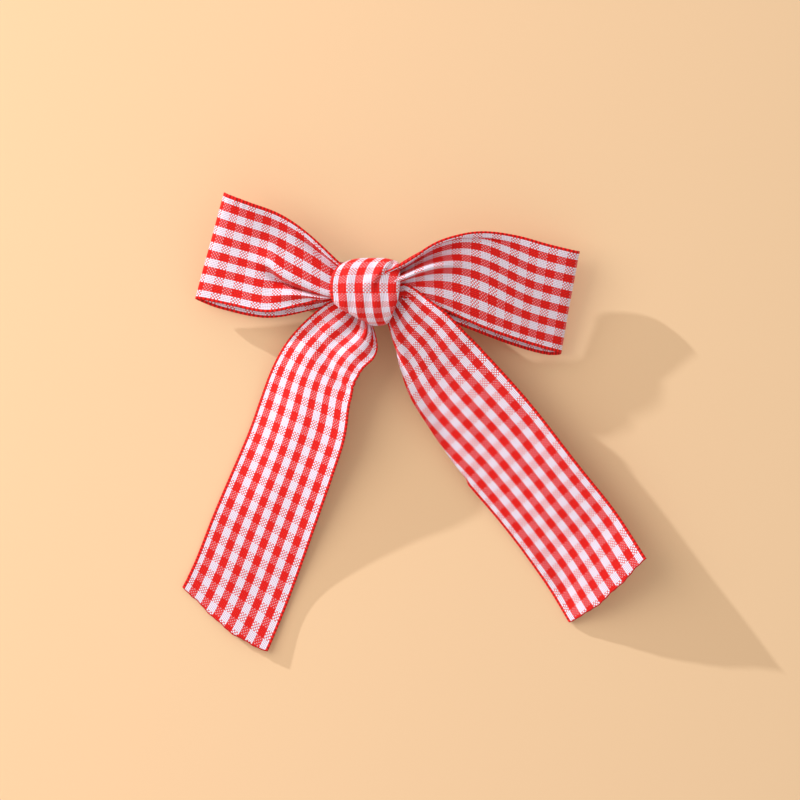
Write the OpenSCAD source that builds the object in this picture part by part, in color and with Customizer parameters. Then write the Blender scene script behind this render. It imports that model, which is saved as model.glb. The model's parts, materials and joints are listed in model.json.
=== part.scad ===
// Hair bow: two loops and two tails of gingham ribbon, gathered at the centre, bound with thread,
// wrapped with a knot of the same ribbon and glued on a sprung steel hair clip.
// X runs to the wearer's right loop as the bow is looked at, Y up the bow, Z out of its face.
// The origin is on the clip's flat underside, below the knot.

/* [Ribbon] */
// Width of the ribbon, selvedge to selvedge
ribbon_w = 25; // [20:0.5:30]
// Thickness of the woven ribbon, with the small waves in it
ribbon_t = 0.5; // [0.3:0.05:0.8]
// Reach of the left loop, from the knot's middle to the fold at its end
left_loop_l = 40; // [32:0.5:50]
// Reach of the right loop, from the knot's middle to the fold at its end
right_loop_l = 49; // [40:0.5:60]
// Length of the left tail, from the knot's middle to its cut corner
left_tail_l = 84; // [60:1:105]
// Length of the right tail, from the knot's middle to its cut corner
right_tail_l = 84; // [60:1:105]

/* [Knot] */
// Length of the knot across the bow
knot_l = 16; // [12:0.5:20]
// Height of the knot along the bow's face
knot_h = 15.6; // [12:0.2:19]
// Depth of the knot, front to back
knot_d = 8.6; // [7:0.2:11]
// Thickness of the wrapped ribbon layers in the knot's wall
wrap_t = 0.9; // [0.5:0.05:1.2]
// Diameter of the binding thread
thread_d = 0.4; // [0.2:0.05:0.6]
// Turns of the binding thread
thread_turns = 3; // [2:1:5]

/* [Clip] */
// Length of the clip
clip_l = 42; // [34:0.5:52]
// Width of the lower jaw, inside the upper jaw's ears
jaw_w = 7; // [5:0.1:10]
// Thickness of the steel strip
steel_t = 0.6; // [0.4:0.05:0.8]
// Slope of the upper jaw over the closed lower jaw
jaw_slope = 12; // [11:0.5:14]
// Distance from the clip's tip to the pivot
pivot_from_tip = 30; // [26:0.5:34]
// Height of the pivot above the flat underside
pivot_z = 4.2; // [3.8:0.05:4.4]
// Diameter of the pivot pin
pin_d = 1.6; // [1:0.05:2]
// Radius of the ears round the pivot
ear_r = 2; // [1.6:0.05:2.2]
// Diameter of the spring wire
wire_d = 0.6; // [0.4:0.05:0.7]
// Turns of the spring's coil
spring_turns = 4; // [3:1:5]
// Height of a tooth on the lower jaw's rims
tooth_h = 0.8; // [0.4:0.05:1]
// Number of teeth on each rim
teeth = 7; // [4:1:10]

/* [Hidden] */

gingham = [0.93, 0.45, 0.47];
gingham_deep = [0.88, 0.36, 0.38];
steel = [0.78, 0.79, 0.81];
$fn = 48;

// Turn and place of the clip under the bow
clip_turn = -8;
clip_y = 1.5;
// Running gap between the two jaws' side walls, and round the pin
side_gap = 0.1;
pin_gap = 0.06;
// Gap between the closed jaws at the tip
tip_gap = 0.15;
upper_w = jaw_w + 2 * (side_gap + steel_t);
tip_x = -clip_l / 2;
pivot_x = tip_x + pivot_from_tip;
// Underside of the upper jaw above the lower jaw's underside, at x along the clip
function upper_under(x) = steel_t + tip_gap + (x - tip_x) * tan(jaw_slope);
function upper_top(x) = upper_under(x) + steel_t / cos(jaw_slope);

// Glue between the upper jaw and the back of the knot
glue_t = 0.7;
// Middle of the knot: its back stands on the glue, with the ribbon pressed into it
press_in = 0.15;
knot_mid = [1, -0.5, upper_top(1) + glue_t + knot_d / 2 - press_in];
core_mid = [0, 0.5, knot_mid[2] + 0.2];
core_l = 7.6;

// Scales that carry the chosen edge points to the driving sizes
sl = left_loop_l / 40;
sr = right_loop_l / 49;
tl = left_tail_l / 84;
tr = right_tail_l / 84;
sw = ribbon_w / 25;
// Lift of everything that stands on the clip, against the height that the points were chosen at
lift = knot_mid[2] - 10.9;
// Top of the clip's finger tab, against the height that the right loop was chosen over. The loop's
// back bends up over the tab's end, so it rises by more than the tab does.
tab_rise = upper_top(clip_l / 2) - 10.3;
rear_lift = max(lift, 1.4 * tab_rise);
// A ribbon's middle lies at least this high, so that its underside clears the table
rest_z = ribbon_t;

// ---------- surfaces ----------

// Point on a smooth curve through the list p, at t from 0 to len(p) - 1
function on_curve(p, t) =
    let (n = len(p) - 1, i = min(floor(t), n - 1), f = t - i,
         a = p[max(i - 1, 0)], b = p[i], c = p[i + 1], d = p[min(i + 2, n)])
    0.5 * (2 * b + (c - a) * f + (2 * a - 5 * b + 4 * c - d) * f * f + (3 * b - a - 3 * c + d) * f * f * f);

function unit(v) = v / max(norm(v), 0.0001);

// Skin over a list of rings with the same number of points each; closed joins the last to the first
module skin(rings, closed = false) {
    n = len(rings);
    m = len(rings[0]);
    last = closed ? n : n - 1;
    sides = [for (i = [0:last - 1], j = [0:m - 1])
        let (a = i * m + j, b = i * m + (j + 1) % m,
             c = ((i + 1) % n) * m + (j + 1) % m, d = ((i + 1) % n) * m + j)
        each [[a, b, c], [a, c, d]]];
    // The end caps are strips between the front and the back of the sheet
    half = m / 2;
    caps = closed ? [] : [for (j = [0:half - 2])
        let (e = (n - 1) * m)
        each [[j + 1, j, m - 1 - j], [j + 1, m - 1 - j, m - 2 - j],
              [e + j, e + j + 1, e + m - 2 - j], [e + j, e + m - 2 - j, e + m - 1 - j]]];
    polyhedron(points = [for (r = rings) each r], faces = concat(sides, caps), convexity = 8);
}

// A ribbon between two selvedges. Each station is [selvedge a, selvedge b, [crown, pleat, 0]]:
// crown bows the middle out, and pleat is the depth of the gathers across the width.
folds = 1.5;
across = 9;

function ribbon_point(st, t, v) =
    let (a = on_curve([for (s = st) s[0]], t), b = on_curve([for (s = st) s[1]], t),
         k = on_curve([for (s = st) s[2]], t),
         e = 0.02, far = len(st) - 1, t0 = max(t - e, 0), t1 = min(t + e, far),
         run = (on_curve([for (s = st) s[0] + s[1]], t1) - on_curve([for (s = st) s[0] + s[1]], t0)),
         out = unit(cross(run, b - a)))
    a * (1 - v) + b * v + out * (k[0] * sin(180 * v) + k[1] * sin(360 * folds * v));

function ribbon_normal(st, t, v) =
    let (e = 0.02, far = len(st) - 1,
         du = ribbon_point(st, min(t + e, far), v) - ribbon_point(st, max(t - e, 0), v),
         dv = ribbon_point(st, t, min(v + e, 1)) - ribbon_point(st, t, max(v - e, 0)))
    unit(cross(du, dv));

module ribbon(st, steps) {
    far = len(st) - 1;
    rings = [for (i = [0:steps])
        let (t = far * i / steps,
             mid = [for (j = [0:across - 1]) ribbon_point(st, t, j / (across - 1))],
             nrm = [for (j = [0:across - 1]) ribbon_normal(st, t, j / (across - 1)) * ribbon_t / 2])
        concat([for (j = [0:across - 1]) mid[j] + nrm[j]],
               [for (j = [across - 1:-1:0]) mid[j] - nrm[j]])];
    skin(rings);
}

// ---------- the bow ----------

// Places a chosen point: x reaches out with the loop, y opens with the ribbon's width
function loop_pt(p, reach) = [p[0] * reach, p[1] * sw, p[2] + lift];

// The right loop's points also ride up with the finger tab, from the knot's side outwards
function rear_pt(p, reach) =
    let (over = min(max((p[0] - core_l / 2) / 10, 0), 1))
    loop_pt(p, reach) + [0, 0, (rear_lift - lift) * over];

module left_loop() color(gingham) ribbon([for (s = [
    // back layer, from the knot outwards
    [[-4.5, 4.3, 9.2], [-4.5, -2.6, 9.0], [0, 0.3, 0]],
    [[-12, 9.5, 6.8], [-12.5, -4.9, 6.2], [0, 0.8, 0]],
    [[-20, 15.3, 4.9], [-23, -6.6, 3.9], [0, 0.5, 0]],
    [[-28, 19.7, 4.3], [-33.5, -4.4, 3.0], [0, 0.2, 0]],
    // fold at the end
    [[-31.9, 21.8, 5.8], [-38.7, -2.3, 4.0], [0, 0, 0]],
    [[-32.7, 22.2, 9.0], [-39.8, -1.8, 7.2], [0, 0, 0]],
    [[-31.2, 21.5, 12.2], [-37.8, -2.1, 10.6], [0.2, 0, 0]],
    // front layer, back to the knot
    [[-26.5, 19.7, 14.2], [-31, -3.6, 12.8], [0.4, 0.2, 0]],
    [[-20, 17.3, 14.2], [-22.5, -5.2, 12.8], [0.4, 0.6, 0]],
    [[-14, 13.3, 13.2], [-14.5, -3.3, 11.9], [0.2, 1.0, 0]],
    [[-8, 7.6, 12.2], [-8.4, -2.0, 11.2], [0, 0.8, 0]],
    [[-4.5, 4.6, 11.8], [-4.5, -2.0, 11.2], [0, 0.3, 0]]])
    [loop_pt(s[0], sl), loop_pt(s[1], sl), s[2]]], 44);

module right_loop() color(gingham) ribbon([for (s = [
    // back layer, from the knot outwards, over the clip's finger tab
    [[4.5, -3.0, 9.0], [4.5, 4.3, 9.2], [0, 0.3, 0]],
    [[13, -4.6, 10.2], [12, 8.5, 10.4], [0, 0.6, 0]],
    [[21.8, -8.7, 11.2], [20.5, 11.9, 11.5], [0, 0.3, 0]],
    [[32.5, -13.0, 7.2], [31, 12.4, 7.9], [0, 0.2, 0]],
    [[40, -15.0, 4.6], [41, 10.0, 6.2], [0, 0, 0]],
    // fold at the end
    [[43.7, -14.9, 4.0], [47.6, 9, 6.3], [0, 0, 0]],
    [[44.7, -14.4, 5.5], [48.8, 9, 7.9], [0, 0, 0]],
    [[43.6, -14.2, 7.1], [47.6, 9.1, 9.5], [0, 0, 0]],
    // front layer, back to the knot
    [[38.4, -12.8, 10.5], [41.6, 10.5, 12.7], [0.3, 0, 0]],
    [[31.5, -10.6, 14.2], [33.5, 12.6, 16.4], [0.4, 0.2, 0]],
    [[24.5, -7.9, 15.6], [25, 13.1, 17.9], [0.3, 0.4, 0]],
    [[17, -4.4, 13.2], [16.5, 11.1, 16.2], [0.2, 0.9, 0]],
    [[10, -2.0, 11.6], [9.4, 6.7, 12.9], [0, 0.7, 0]],
    [[4.5, -2.4, 11.2], [4.5, 4.6, 11.8], [0, 0.3, 0]]])
    [rear_pt(s[0], sr), rear_pt(s[1], sr), s[2]]], 48);

// Places a tail's point: below the knot it stretches with the tail's length, and a selvedge
// keeps its distance from the other as the ribbon's width changes
tail_top = -6;
function tail_pt(p, other, reach) =
    let (q = (p + other) / 2 + (p - other) / 2 * sw, down = min(q[1] - tail_top, 0))
    [q[0] + q[0] * (reach - 1) * min(-down / 60, 1), q[1] + down * (reach - 1),
     max(q[2] + lift * max(1 + down / 60, 0), rest_z)];

module left_tail() color(gingham) ribbon([for (s = [
    [[-5.5, -0.8, 9.8], [-3.2, -3.4, 8.8], [0, 0.2, 0]],
    [[-11.6, -5.1, 8.9], [-2.4, -6.2, 7.6], [0, 0.9, 0]],
    [[-14.3, -7.9, 7.4], [0.8, -9.2, 8.4], [0, 1.3, 0]],
    [[-16.9, -10.9, 5.8], [2.5, -12.8, 10.2], [0, 1.1, 0]],
    [[-19.3, -13.8, 4.4], [0.4, -17.2, 11.2], [0, 0.8, 0]],
    [[-22.1, -18.2, 2.8], [-3.3, -23.4, 10.6], [0, 0.5, 0]],
    [[-24.8, -25.2, 1.5], [-4.8, -31.2, 8.8], [0, 0.3, 0]],
    [[-27.6, -33.0, 0.9], [-7.0, -40.7, 6.5], [0.2, 0.1, 0]],
    [[-32.2, -43.6, 0.6], [-11.0, -52.6, 4.0], [0.3, 0, 0]],
    [[-36.1, -52.8, 0.5], [-15.2, -63.8, 2.1], [0.3, 0, 0]],
    [[-39.7, -62.0, 0.5], [-19.2, -74.4, 1.2], [0.2, 0, 0]],
    [[-42.7, -68.5, 0.5], [-23.2, -84.0, 1.6], [0, 0, 0]]])
    [tail_pt(s[0], s[1], tl), tail_pt(s[1], s[0], tl), s[2]]], 40);

module right_tail() color(gingham) ribbon([for (s = [
    [[2.8, -3.6, 8.8], [6.4, 0.2, 10.8], [0, 0.2, 0]],
    [[4.4, -7.8, 8.6], [10.2, -2.2, 12.8], [0, 0.8, 0]],
    [[5.8, -12.3, 8.0], [14.2, -4.2, 14.0], [0, 1.2, 0]],
    [[7.0, -17.4, 7.2], [19.5, -7.0, 13.8], [0, 1.0, 0]],
    [[8.8, -23.2, 6.2], [24.2, -11.0, 12.6], [0, 0.7, 0]],
    [[11.4, -28.4, 5.2], [29.0, -16.2, 11.4], [0, 0.5, 0]],
    [[20.2, -41.2, 3.4], [38.6, -27.4, 10.2], [0.2, 0.2, 0]],
    [[31.6, -54.8, 2.0], [49.6, -41.6, 9.8], [0.3, 0, 0]],
    [[40.6, -67.0, 1.1], [57.6, -51.4, 9.6], [0.3, 0, 0]],
    [[46.6, -76.8, 0.8], [64.0, -61.6, 10.6], [0, 0, 0]]])
    [tail_pt(s[0], s[1], tr), tail_pt(s[1], s[0], tr), s[2]]], 40);

// The pressed bundle of ribbon at the bow's middle, drawn in where the thread binds it
gather_r = 2.9;
waist_r = 2.2;
// Gap between neighbouring turns of the thread
thread_gap = 0.02;
// Half the width of the waist that the thread fills
waist_half = thread_turns * (thread_d + thread_gap) / 2;

module centre_gather() color(gingham_deep)
    translate(core_mid) rotate([0, 90, 0])
        rotate_extrude()
            polygon([[0, -core_l / 2], [gather_r - 0.5, -core_l / 2], [gather_r, -core_l / 2 + 0.6],
                     [waist_r + 0.3, -waist_half - 0.5], [waist_r, -waist_half],
                     [waist_r, waist_half], [waist_r + 0.3, waist_half + 0.5],
                     [gather_r, core_l / 2 - 0.6], [gather_r - 0.5, core_l / 2], [0, core_l / 2]]);

module binding_thread() color("white")
    translate(core_mid) rotate([0, 90, 0])
        for (i = [0:thread_turns - 1])
            translate([0, 0, (i - (thread_turns - 1) / 2) * (thread_d + thread_gap)])
                rotate_extrude() translate([waist_r + thread_d / 2, 0]) circle(d = thread_d, $fn = 16);

// The knot's wall goes round the bow's middle. It is widest across the front, and narrow below.
wrap_steps = 28;
wrap_across = 9;

function wrap_point(a, w, deep) =
    let (front = max(sin(a), 0), low = max(-cos(a), 0), high = max(cos(a), 0), back = max(-sin(a), 0),
         half = knot_l * (0.5 * front + 0.24 * low + 0.4 * high + 0.3 * back)
                / max(front + low + high + back, 0.01) * 1.06,
         shift = 0.8 * low + 0.9 * high - 1.2 * front,
         crown = 1 - 0.16 * w * w,
         x = shift + half * w)
    // the back lies along the sloping jaw
    knot_mid + [x,
                (knot_h / 2 - deep) * crown * cos(a),
                (knot_d / 2 - deep) * (1 - 0.1 * w * w * front) * sin(a) + back * x * tan(jaw_slope)];

module knot_wrap() color(gingham)
    skin([for (i = [0:wrap_steps - 1])
        let (a = 360 * i / wrap_steps)
        concat([for (j = [0:wrap_across - 1]) wrap_point(a, 2 * j / (wrap_across - 1) - 1, 0)],
               [for (j = [wrap_across - 1:-1:0]) wrap_point(a, 2 * j / (wrap_across - 1) - 1, wrap_t)])],
        closed = true);

// ---------- the clip ----------

// Puts a clip piece under the bow
module on_clip() translate([0, clip_y, 0]) rotate([0, 0, clip_turn]) children();

// The upper jaw's own sloping frame, with its origin at the underside of the tip
module on_upper() translate([tip_x, 0, upper_under(tip_x)]) rotate([0, -jaw_slope, 0]) children();

// Length of the upper jaw along its slope
upper_l = clip_l / cos(jaw_slope);
// The pivot in the sloping frame
pivot_u = [(pivot_x - tip_x) * cos(jaw_slope) + (pivot_z - upper_under(tip_x)) * sin(jaw_slope),
           -(pivot_x - tip_x) * sin(jaw_slope) + (pivot_z - upper_under(tip_x)) * cos(jaw_slope)];

// A strip with rounded ends, from x0 to x1, lying on z = 0
module strip(x0, x1, w, t, r) linear_extrude(t) {
    translate([x0 + r, -w / 2]) square([x1 - x0 - 2 * r, w]);
    for (x = [x0 + r, x1 - r]) {
        translate([x - r, -w / 2 + r]) square([2 * r, w - 2 * r]);
        for (y = [-1, 1]) translate([x, y * (w / 2 - r)]) circle(r);
    }
}

// Glue sits on the sloping jaw under the knot
module glue_pad() color([0.93, 0.9, 0.82])
    on_clip() on_upper()
        translate([(1 - tip_x) / cos(jaw_slope), 0, steel_t])
            strip(-knot_l * 0.34, knot_l * 0.34, upper_w - 2, glue_t, 1.5);

module upper_jaw() color(steel) on_clip() {
    on_upper() difference() {
        strip(0, upper_l, upper_w, steel_t, 2);
        // slot that the spring's upper leg hooks into
        translate([upper_l - 4, -wire_d / 2 - 0.2, -1]) cube([1.6, wire_d + 0.4, steel_t + 2]);
    }
    for (side = [-1, 1])
        translate([0, side * (upper_w - steel_t) / 2, 0])
            rotate([90, 0, 0])
                translate([0, 0, -steel_t / 2])
                    linear_extrude(steel_t) difference() {
                        union() {
                            translate([pivot_x, pivot_z]) circle(ear_r);
                            polygon([[pivot_x - ear_r, pivot_z], [pivot_x + ear_r, pivot_z],
                                     [pivot_x + ear_r + 1.5, upper_under(pivot_x + ear_r + 1.5) + 0.1],
                                     [pivot_x - ear_r - 1.5, upper_under(pivot_x - ear_r - 1.5) + 0.1]]);
                        }
                        translate([pivot_x, pivot_z]) circle(d = pin_d);
                    }
}

// Rims of the lower jaw's front, with teeth that stop short of the upper jaw
tooth_clear = 0.25;
rim_l = 12;
function rim_top(x) = upper_under(x) - tooth_clear;
tooth_pitch = rim_l / teeth;

module lower_jaw() color(steel) on_clip() {
    strip(tip_x, tip_x + clip_l, jaw_w, steel_t, 2);
    for (side = [-1, 1])
        translate([0, side * (jaw_w - steel_t) / 2, 0]) rotate([90, 0, 0])
            translate([0, 0, -steel_t / 2]) {
                // ear round the pivot
                linear_extrude(steel_t) difference() {
                    union() {
                        translate([pivot_x, pivot_z]) circle(ear_r);
                        polygon([[pivot_x - ear_r - 1.5, steel_t / 2], [pivot_x + ear_r + 1.5, steel_t / 2],
                                 [pivot_x + ear_r, pivot_z], [pivot_x - ear_r, pivot_z]]);
                    }
                    translate([pivot_x, pivot_z]) circle(d = pin_d + 2 * pin_gap);
                }
                // toothed rim
                linear_extrude(steel_t)
                    polygon(concat([[tip_x + 2 + rim_l, steel_t / 2], [tip_x + 2, steel_t / 2]],
                        [for (i = [0:teeth - 1], up = [0, 1])
                            let (x = tip_x + 2 + (i + up * 0.5 + 0.25) * tooth_pitch)
                            [x, max(rim_top(x) - (up ? 0 : tooth_h), steel_t * 0.6)]]));
            }
}

// Rivet pin with a head outside each of the upper jaw's ears
head_t = 0.4;
head_d = 2.6;

module pivot_pin() color([0.7, 0.71, 0.73]) on_clip()
    translate([pivot_x, 0, pivot_z]) rotate([90, 0, 0]) {
        cylinder(d = pin_d, h = upper_w + 2 * head_t, center = true);
        for (side = [-1, 1])
            translate([0, 0, side * (upper_w + head_t) / 2]) cylinder(d = head_d, h = head_t, center = true);
    }

// Torsion spring: coil round the pin, and two legs that press the finger tabs apart.
// The coil is drawn as its turns, side by side; the legs are straight wires.
coil_r = pin_d / 2 + 0.25 + wire_d / 2;
leg_l = clip_l - pivot_from_tip - 3;
coil_w = spring_turns * wire_d;
// Angles of the legs to the lower jaw, from the coil's tangents to the tabs
low_leg = -atan2(pivot_z - coil_r - steel_t - wire_d / 2 - 0.05, leg_l);
high_leg = atan2(upper_under(pivot_x + leg_l) - 0.05 - wire_d / 2 - pivot_z - coil_r, leg_l);

module torsion_spring() color([0.62, 0.64, 0.68]) on_clip()
    translate([pivot_x, 0, pivot_z]) {
        rotate([90, 0, 0])
            for (i = [0:spring_turns - 1])
                translate([0, 0, (i - (spring_turns - 1) / 2) * wire_d])
                    rotate_extrude() translate([coil_r, 0]) circle(d = wire_d * 1.02, $fn = 16);
        translate([0, -coil_w / 2 + wire_d / 2, -coil_r]) rotate([0, 90 - low_leg, 0])
            cylinder(d = wire_d, h = leg_l, $fn = 16);
        translate([0, coil_w / 2 - wire_d / 2, coil_r]) rotate([0, 90 - high_leg, 0])
            cylinder(d = wire_d, h = leg_l, $fn = 16);
    }

left_loop();
right_loop();
left_tail();
right_tail();
centre_gather();
binding_thread();
knot_wrap();
glue_pad();
upper_jaw();
lower_jaw();
pivot_pin();
torsion_spring();
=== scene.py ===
# %% [markdown]
# A hair bow of gingham ribbon on a sprung steel clip. The clip, the knot's place and the overall
# size come from the fixed frame. This lesson drapes the ribbon over that frame. Each loop, tail and
# wrap is a thin woven sheet that hardly stretches, and that is what makes its folds: width that
# doesn't fit has to go somewhere. A solid bent to shape would look moulded instead.

# %% Load the frame
import json
import math

import bpy
import numpy as np
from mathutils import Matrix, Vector


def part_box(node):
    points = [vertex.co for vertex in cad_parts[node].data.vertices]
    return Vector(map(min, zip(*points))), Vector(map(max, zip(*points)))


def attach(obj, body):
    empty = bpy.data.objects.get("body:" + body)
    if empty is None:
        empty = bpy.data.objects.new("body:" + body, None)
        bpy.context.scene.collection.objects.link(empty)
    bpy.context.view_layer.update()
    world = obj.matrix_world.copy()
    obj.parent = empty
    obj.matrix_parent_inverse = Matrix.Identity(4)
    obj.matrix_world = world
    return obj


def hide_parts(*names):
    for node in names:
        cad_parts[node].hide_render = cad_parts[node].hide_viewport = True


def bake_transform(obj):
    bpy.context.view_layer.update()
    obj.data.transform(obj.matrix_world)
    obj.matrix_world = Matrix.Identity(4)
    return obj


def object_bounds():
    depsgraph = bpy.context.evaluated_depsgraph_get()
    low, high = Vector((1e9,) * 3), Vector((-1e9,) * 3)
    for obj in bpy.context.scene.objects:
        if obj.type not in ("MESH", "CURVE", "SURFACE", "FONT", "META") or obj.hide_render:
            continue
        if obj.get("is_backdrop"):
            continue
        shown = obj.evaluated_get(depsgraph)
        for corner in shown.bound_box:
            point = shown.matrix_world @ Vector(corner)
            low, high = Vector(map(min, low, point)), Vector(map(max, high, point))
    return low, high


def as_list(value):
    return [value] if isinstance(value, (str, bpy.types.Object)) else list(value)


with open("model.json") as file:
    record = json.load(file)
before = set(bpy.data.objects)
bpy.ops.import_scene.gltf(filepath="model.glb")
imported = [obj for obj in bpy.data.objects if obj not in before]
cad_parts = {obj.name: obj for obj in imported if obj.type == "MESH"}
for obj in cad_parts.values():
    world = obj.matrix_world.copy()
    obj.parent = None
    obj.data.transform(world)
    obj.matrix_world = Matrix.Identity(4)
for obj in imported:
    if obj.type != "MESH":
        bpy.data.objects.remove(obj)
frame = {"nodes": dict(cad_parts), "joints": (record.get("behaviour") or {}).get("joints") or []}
cad_low, cad_high = [list(map(float, corner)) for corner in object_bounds()]
MM = 0.001
print("frame box in mm:", [round((h - l) / MM, 1) for l, h in zip(cad_low, cad_high)])

# %% [markdown]
# The ribbon's own sizes. Woven gingham repeats a dyed and an undyed band of yarns, so one check is
# a whole number of yarns wide. Everything that is drawn below is in millimetres, and only the last
# step of making a mesh turns it into metres.

# %% Sizes of the ribbon
RIBBON_W = 25.0          # selvedge to selvedge
CHECK_ACROSS = 1.9       # one dyed stripe, in the ribbon's width
CHECK_ALONG = 2.15       # one dyed band, along the ribbon
WARP = CHECK_ACROSS / 5  # pitch of the yarns that run along the ribbon, five to a stripe
WEFT = CHECK_ALONG / 6   # pitch of the yarns that cross it, six to a band
SELVEDGE = 0.70          # the firm dyed edge
CLOTH_T = 0.3            # thickness of the cloth
FLOOR_GAP = 0.2          # the cloth's middle stays this far above the table
print("stripes across:", round((RIBBON_W - 2 * SELVEDGE) / CHECK_ACROSS, 1))

# %% [markdown]
# A ribbon's path is given by a few stations. Each station says where its two selvedges are. The
# curve through them is the usual four-point one, where a point's direction is set by its two
# neighbours. numpy works it out for all the rows of the mesh at once.

# %% Curves through stations
def through(points, t):
    """Smooth curve through the points: between two of them it is a cubic whose slope at each point
    is half the step from the point before to the point after. t runs from 0 to len(points) - 1."""
    p = np.asarray(points, float)
    n = len(p) - 1
    i = np.clip(np.floor(t).astype(int), 0, n - 1)
    f = (np.asarray(t) - i)[:, None]
    a, b, c, d = p[np.maximum(i - 1, 0)], p[i], p[i + 1], p[np.minimum(i + 2, n)]
    cubic = (2 * a - 5 * b + 4 * c - d) * f ** 2 + (3 * b - a - 3 * c + d) * f ** 3
    return 0.5 * (2 * b + (c - a) * f + cubic)


def even_steps(points, rows):
    """Values of t that step evenly along the curve: its length is added up in short chords, and
    the even lengths are looked up in that sum. Returns them with the whole length."""
    t = np.linspace(0, len(points) - 1, 1500)
    chords = np.linalg.norm(np.diff(through(points, t), axis=0), axis=1)
    run = np.concatenate([[0], np.cumsum(chords)])
    return np.interp(np.linspace(0, run[-1], rows), run, t), run[-1]


corner = [(0, 0), (10, 0), (10, 10)]
print("a curve round a corner of 20:", round(float(even_steps(corner, 2)[1]), 2))

# %% [markdown]
# Folds are sums of a few simple hills and steps. A hill has a middle and a width. A step rises
# between two places, or falls where the second place comes first.

# %% Hills and steps
def bump(x, middle, half):
    """A round hill: 1 at the middle, falling as the bell curve, about 0 two half-widths away."""
    return np.exp(-((x - middle) / half) ** 2)


def ramp(x, start, end):
    """Goes smoothly from 0 at start to 1 at end."""
    s = np.clip((x - start) / (end - start), 0, 1)
    return s * s * (3 - 2 * s)


def unit(v):
    """Vectors of length 1 in the same directions."""
    return v / np.maximum(np.linalg.norm(v, axis=-1, keepdims=True), 1e-9)


print("hill and step a quarter of the way:", bump(0.25, 0, 1).round(3), ramp(0.25, 0, 1).round(3))

# %% [markdown]
# Cloth hardly stretches. A sheet that is drawn between two selvedges is only roughly the right
# size, so it is settled: every short thread between neighbours is brought back to its real length
# again and again, while the drawn shape holds on gently, and firmly where the knot grips. What is
# too wide for its space then buckles into folds, as it does in the hand.

# %% Threads between neighbours
def thread_ends(rows, cols, step, first):
    """Row and column numbers of the two ends of every other thread of that step. Threads join
    points that are `step` rows and columns apart, and no point is the end of two of them."""
    di, dj = step
    i, j = np.mgrid[slice(first if di else 0, rows - di, 2 if di else 1),
                    slice(0 if di else first, cols - abs(dj), 1 if di else 2)]
    if dj < 0:
        j = j - dj
    return (i, j), (i + di, j + dj)


def pull_threads(p, step, rest, stiff):
    """Moves both ends of each thread half the way to its true length."""
    for first in (0, 1):
        a, b = thread_ends(*p.shape[:2], step, first)
        d = p[b] - p[a]
        size = np.linalg.norm(d, axis=-1)
        move = (0.5 * stiff * (size - rest[a]) / np.maximum(size, 1e-9))[..., None] * d
        p[a] += move
        p[b] -= move


def own_length(p, step, true, least, most):
    """Rest length of each thread: what it measures as drawn, kept between the parts `least` and
    `most` of its true length, because woven cloth gives a little."""
    di, dj = step
    rest = np.full(p.shape[:2], true)
    size = np.linalg.norm(p[di:, dj:] - p[:p.shape[0] - di, :p.shape[1] - dj], axis=-1)
    rest[:size.shape[0], :size.shape[1]] = np.clip(size, least * true, most * true)
    return rest


two_points = np.array([[[0.0, 0, 0]], [[2.0, 0, 0]]])
pull_threads(two_points, (1, 0), own_length(two_points, (1, 0), 1.0, 0.9, 1.1), 1.0)
print("a thread of 1 drawn at 2 is pulled to", round(float(two_points[1, 0, 0] - two_points[0, 0, 0]), 2))

# %% [markdown]
# One round of settling pulls the threads along, across and on the slant, evens out sharp bends a
# little, lets the drawn shape pull back, and keeps the cloth above the table. Slanting threads are
# weak, since cloth shears easily. Bends are evened more along the ribbon than across it, where the
# folds are.

# %% Settle a sheet to its true size
ROUNDS = 140
GIVE_ALONG = (0.93, 1.07)    # least and most length of a thread along the ribbon
MOST_ACROSS = 1.15           # most length of a thread across it
SHEAR = 0.15                 # pull of the slanting threads
EVEN_ALONG = 0.04
EVEN_ACROSS = 0.006


def settle(target, width, length, hold, least):
    """Relaxes the grid target (rows, columns, xyz) to a sheet of width by length. hold is how
    firmly each point keeps to its drawn place, from 0 to 1. Where the sheet is gathered too finely
    to draw, its width counts down to the part `least` of the true one."""
    p = target.copy()
    along = own_length(p, (1, 0), length / (p.shape[0] - 1), *GIVE_ALONG)
    across = own_length(p, (0, 1), width / (p.shape[1] - 1), least, MOST_ACROSS)
    slant = np.hypot(along, across)
    for _ in range(ROUNDS):
        pull_threads(p, (1, 0), along, 1.0)
        pull_threads(p, (0, 1), across, 1.0)
        pull_threads(p, (1, 1), slant, SHEAR)
        pull_threads(p, (1, -1), slant, SHEAR)
        p[1:-1] += EVEN_ALONG * (0.5 * (p[:-2] + p[2:]) - p[1:-1])
        p[:, 1:-1] += EVEN_ACROSS * (0.5 * (p[:, :-2] + p[:, 2:]) - p[:, 1:-1])
        p += hold[..., None] * (target - p)
        p[..., 2] = np.maximum(p[..., 2], FLOOR_GAP)
    return p


print("each sheet settles in", ROUNDS, "rounds")

# %% [markdown]
# The settled grid is coarse, about one point to a millimetre. It is refined by running the same
# smooth curve through its rows and then through its columns, which keeps every fold round.

# %% Refine a grid
def refine(p, rows, cols):
    """Smooth curves through all the rows, then through all the columns, of a grid."""
    r = through(p.reshape(len(p), -1), np.linspace(0, len(p) - 1, rows)).reshape(rows, -1, 3)
    c = through(r.transpose(1, 0, 2).reshape(r.shape[1], -1), np.linspace(0, r.shape[1] - 1, cols))
    return c.reshape(cols, rows, 3).transpose(1, 0, 2)


def facing(p):
    """Direction that the surface faces: the cross product of its run along and its run across."""
    return unit(np.cross(np.gradient(p, axis=0), np.gradient(p, axis=1)))


print("a grid of 3 by 4 refined:", refine(np.zeros((3, 4, 3)), 7, 10).shape)

# %% [markdown]
# Arrays become a mesh in one call. Its object stays at the origin, with its place in its points, as
# the frame's own nodes have, so that a pattern on Object coordinates doesn't slide.

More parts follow.
